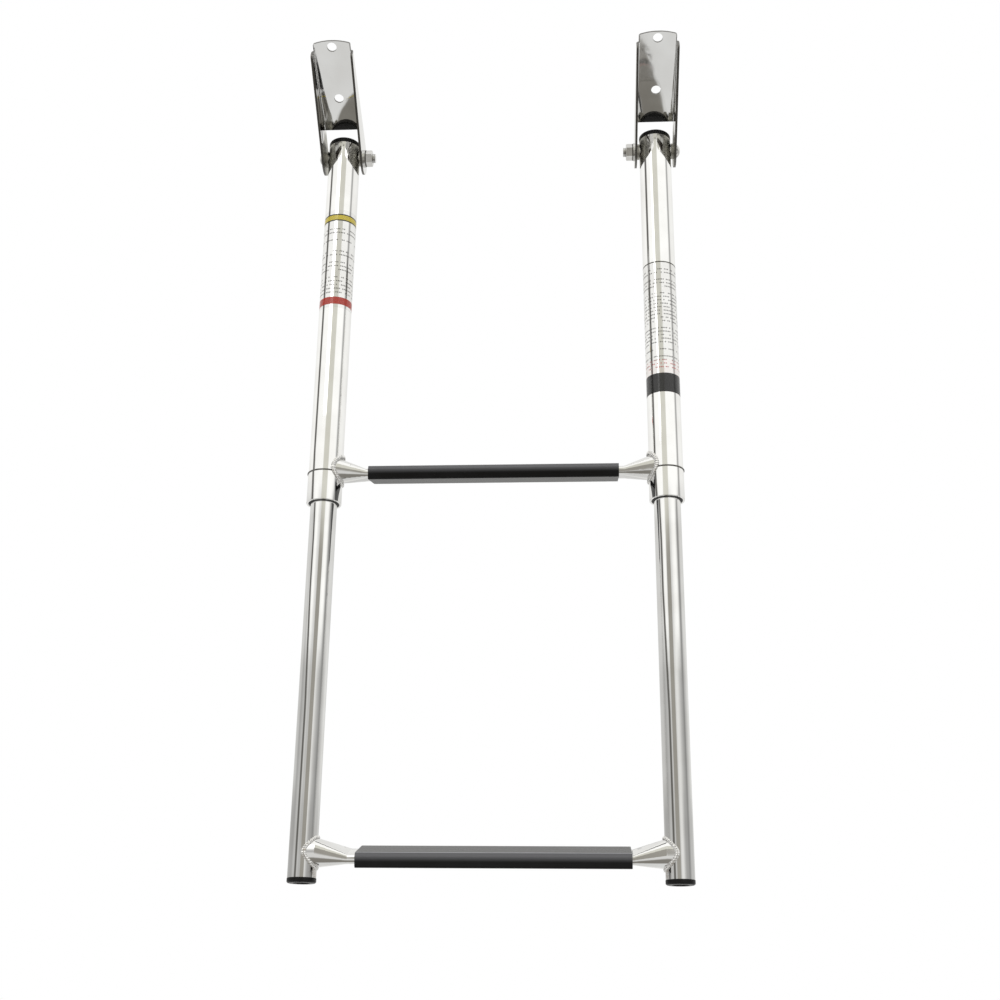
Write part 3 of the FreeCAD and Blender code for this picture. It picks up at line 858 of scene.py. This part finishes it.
# %% Weld metal
def weld_metal():
    material, tree, shader = new_material("weld_metal")
    grain = noise_value(tree, object_place(tree), 1100.0, 5.0, 0.7)
    burn = noise_value(tree, object_place(tree), 420.0, 3.0, 0.6)
    bright = blend_colour(tree, grain, (0.90, 0.895, 0.88), (0.70, 0.69, 0.67))
    tree.links.new(blend_colour(tree, span(tree, burn, 0.6, 0.8), bright, HEAT_BROWN), shader.inputs["Base Color"])
    shader.inputs["Metallic"].default_value = 1.0
    tree.links.new(span(tree, grain, 0.3, 0.7, 0.08, 0.22), shader.inputs["Roughness"])
    bump = add(tree, "ShaderNodeBump", {"Height": grain, "Strength": 0.5, "Distance": 0.00008})
    tree.links.new(bump.outputs[0], shader.inputs["Normal"])
    return material


WELD = weld_metal()
print("weld finish:", WELD.name)

# %% Weld beads
BEAD_RADIUS = 2.0 * MM
BEAD_OFF = 0.2 * MM
BEAD_FLAT = 0.62
BEAD_SIDES = 12
BEAD_STEPS = 360
BEAD_POOLS = 46
RUNG_RADIUS = (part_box("upper_rung")[1].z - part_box("upper_rung")[0].z) / 2
SADDLE_EASE = 10 * MM ** 2


def saddle_reach(rail_radius, aside):
    """How far from the rail's axis its surface lies, eased where a bead passes the rail's side."""
    room = rail_radius ** 2 - aside ** 2
    return math.sqrt((room + math.hypot(room, SADDLE_EASE)) / 2)


def weld_bead(name, body, rail_x, toward, height, rail_radius, core_radius, seed):
    shape = bmesh.new()
    bmesh.ops.create_circle(shape, segments=BEAD_SIDES, radius=BEAD_RADIUS)
    bmesh.ops.rotate(shape, verts=shape.verts, matrix=Matrix.Rotation(math.pi / 2, 3, "X"))
    bmesh.ops.translate(shape, verts=shape.verts, vec=(0, 0, core_radius))
    bmesh.ops.spin(
        shape, geom=shape.verts[:] + shape.edges[:], cent=(0, 0, 0), axis=(1, 0, 0),
        angle=2 * math.pi, steps=BEAD_STEPS, use_merge=True, use_duplicate=False,
    )
    bmesh.ops.remove_doubles(shape, verts=shape.verts, dist=MERGE)
    for vert in shape.verts:
        turn = math.atan2(vert.co.y, vert.co.z)
        core = Vector((0, math.sin(turn), math.cos(turn))) * core_radius
        wander = noise.noise(Vector((math.sin(turn), math.cos(turn), seed)) * 3.0)
        pool = 1 + 0.09 * math.sin(BEAD_POOLS * turn + 4 * wander) + 0.2 * wander
        off_core = (vert.co - core) * pool
        core.x = saddle_reach(rail_radius, core.y)
        outward = Vector((core.x, core.y, 0)).normalized()
        place = core + off_core - outward * off_core.dot(outward) * (1 - BEAD_FLAT)
        vert.co = (toward * place.x, place.y, place.z)
    bmesh.ops.translate(shape, verts=shape.verts, vec=(rail_x, RAIL_Y, height))
    bmesh.ops.recalc_face_normals(shape, faces=shape.faces)
    return finish_mesh(shape, name, body, [WELD])


for index, (side, x) in enumerate(SIDES.items()):
    toward = 1 if side == "left" else -1
    for level, height, rail_radius, wider in (
        ("upper", UPPER_RUNG_Z, COLLAR_RADIUS, 1.7 * MM), ("lower", LOWER_RUNG_Z, INNER_RADIUS, 0.8 * MM),
    ):
        seed = 2.7 * index + (1.3 if level == "upper" else 5.1)
        sizes = (rail_radius + BEAD_OFF, RUNG_RADIUS + wider)
        piece = weld_bead(f"{side}_{level}_weld", f"{level}_frame", x, toward, height, *sizes, seed)
        print(piece.name, len(piece.data.polygons), "faces")

# %% [markdown]
# Each collar is pushed against the end of its rail and joined by a thin seam. The polishing wheel
# can't reach into that groove, so it stays dark.

# %% Collar seams
SEAM_RADIUS = 0.7 * MM


def collar_seam(side):
    shape = bmesh.new()
    bmesh.ops.create_circle(shape, segments=10, radius=SEAM_RADIUS)
    bmesh.ops.rotate(shape, verts=shape.verts, matrix=Matrix.Rotation(math.pi / 2, 3, "X"))
    bmesh.ops.translate(shape, verts=shape.verts, vec=(COLLAR_RADIUS, 0, 0))
    bmesh.ops.spin(
        shape, geom=shape.verts[:] + shape.edges[:], cent=(0, 0, 0), axis=(0, 0, 1),
        angle=2 * math.pi, steps=120, use_merge=True, use_duplicate=False,
    )
    bmesh.ops.remove_doubles(shape, verts=shape.verts, dist=MERGE)
    bmesh.ops.translate(shape, verts=shape.verts, vec=(SIDES[side], RAIL_Y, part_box(f"{side}_collar")[1].z))
    bmesh.ops.recalc_face_normals(shape, faces=shape.faces)
    return finish_mesh(shape, f"{side}_seam", "upper_frame", [CUT_RIM])


for side in SIDES:
    piece = collar_seam(side)
    print(piece.name, len(piece.data.polygons), "faces")

# %% [markdown]
# A clear film is shrunk round each upper rail. It holds only plain bands and rows of short dashes. The
# dashes are drawn by the material: the angle round the rail and the height give each point a row and a
# column, and a random number per cell leaves some cells empty. Another random number per row leaves
# out whole rows. The film is see-through except where it is printed.

# %% Clear films
FILM_OFF = 0.05 * MM
FILM_THICK = 0.06 * MM
FILM_SIDES = 120
DASH_PITCH = 1.5 * MM


def band(tree, height, low, high):
    """1 between two heights, else 0."""
    above = math_node(tree, "GREATER_THAN", height, low)
    below = math_node(tree, "LESS_THAN", height, high)
    return math_node(tree, "MULTIPLY", above, below)


def film_print(name, rail_x, bands, rows_low, rows_high, row_pitch, red_below):
    """The film's ink: bands is a list of (low, high, colour), in metres above the collar's foot."""
    material, tree, shader = new_material(name)
    place = object_place(tree, shift=(-rail_x, -RAIL_Y, -COLLAR_LOW))
    parts = add(tree, "ShaderNodeSeparateXYZ", {0: place}).outputs
    angle = math_node(tree, "ARCTAN2", parts["X"], parts["Y"])
    column = math_node(tree, "MULTIPLY", angle, OUTER_RADIUS / DASH_PITCH)
    row = math_node(tree, "DIVIDE", parts["Z"], row_pitch)
    row_index = math_node(tree, "FLOOR", row)
    cell = add(tree, "ShaderNodeCombineXYZ", {0: math_node(tree, "FLOOR", column), 1: row_index}).outputs[0]
    chance = add(tree, "ShaderNodeTexWhiteNoise", {"Vector": cell}).outputs["Value"]
    row_chance = add(tree, "ShaderNodeTexWhiteNoise", {"W": row_index}, noise_dimensions="1D").outputs["Value"]
    filled = math_node(tree, "GREATER_THAN", chance, 0.3)
    kept = math_node(tree, "GREATER_THAN", row_chance, 0.18)
    within = band(tree, math_node(tree, "FRACT", row), 0.3, 0.6)
    dash = band(tree, math_node(tree, "FRACT", column), 0.12, 0.7)
    marks = math_node(tree, "MULTIPLY", math_node(tree, "MULTIPLY", filled, within), dash)
    marks = math_node(tree, "MULTIPLY", marks, kept)
    marks = math_node(tree, "MULTIPLY", marks, band(tree, parts["Z"], rows_low, rows_high))
    ink = blend_colour(
        tree, math_node(tree, "LESS_THAN", parts["Z"], red_below), (0.06, 0.055, 0.05), (0.55, 0.05, 0.04))
    cover = math_node(tree, "MULTIPLY", marks, 0.8)
    for low, high, colour in bands:
        here = band(tree, parts["Z"], low, high)
        ink = blend_colour(tree, here, ink, colour)
        cover = math_node(tree, "MAXIMUM", cover, math_node(tree, "MULTIPLY", here, 0.92))
    cover = math_node(tree, "MAXIMUM", cover, 0.05)
    tree.links.new(ink, shader.inputs["Base Color"])
    tree.links.new(cover, shader.inputs["Alpha"])
    gloss = noise_value(tree, place, 300.0, 3.0)
    tree.links.new(span(tree, gloss, 0.3, 0.7, 0.12, 0.22), shader.inputs["Roughness"])
    return material


def clear_film(side, rail_x, low, high, material):
    """A thin tube of film: low and high are heights above the collar's foot."""
    shape = bmesh.new()
    ring = bmesh.ops.create_circle(shape, segments=FILM_SIDES, radius=OUTER_RADIUS + FILM_OFF)
    bmesh.ops.translate(shape, verts=ring["verts"], vec=(rail_x, RAIL_Y, COLLAR_LOW + low))
    grown = bmesh.ops.extrude_edge_only(shape, edges=shape.edges[:])
    top = [item for item in grown["geom"] if isinstance(item, bmesh.types.BMVert)]
    bmesh.ops.translate(shape, verts=top, vec=(0, 0, high - low))
    bmesh.ops.recalc_face_normals(shape, faces=shape.faces)
    return finish_mesh(shape, f"{side}_film", "upper_frame", [material])


YELLOW, DARK, RED, BLACK = (0.62, 0.50, 0.06), (0.05, 0.045, 0.03), (0.45, 0.05, 0.035), (0.02, 0.02, 0.02)
LEFT_BANDS = [
    (268.6 * MM, 275.6 * MM, DARK), (269.8 * MM, 274.4 * MM, YELLOW), (183.7 * MM, 190.8 * MM, RED),
]
RIGHT_BANDS = [(93.9 * MM, 111.5 * MM, BLACK), (219.2 * MM, 220.2 * MM, DARK)]
LEFT_INK = film_print("left_film_ink", LEFT_X, LEFT_BANDS, 194 * MM, 266 * MM, 3.8 * MM, 0.0)
RIGHT_INK = film_print("right_film_ink", RIGHT_X, RIGHT_BANDS, 113 * MM, 216 * MM, 3.4 * MM, 124 * MM)
for side, low, high, ink in (("left", 180.3 * MM, 280.0 * MM, LEFT_INK), ("right", 93.7 * MM, 220.3 * MM, RIGHT_INK)):
    piece = clear_film(side, SIDES[side], low, high, ink)
    print(piece.name, len(piece.data.polygons), "faces")
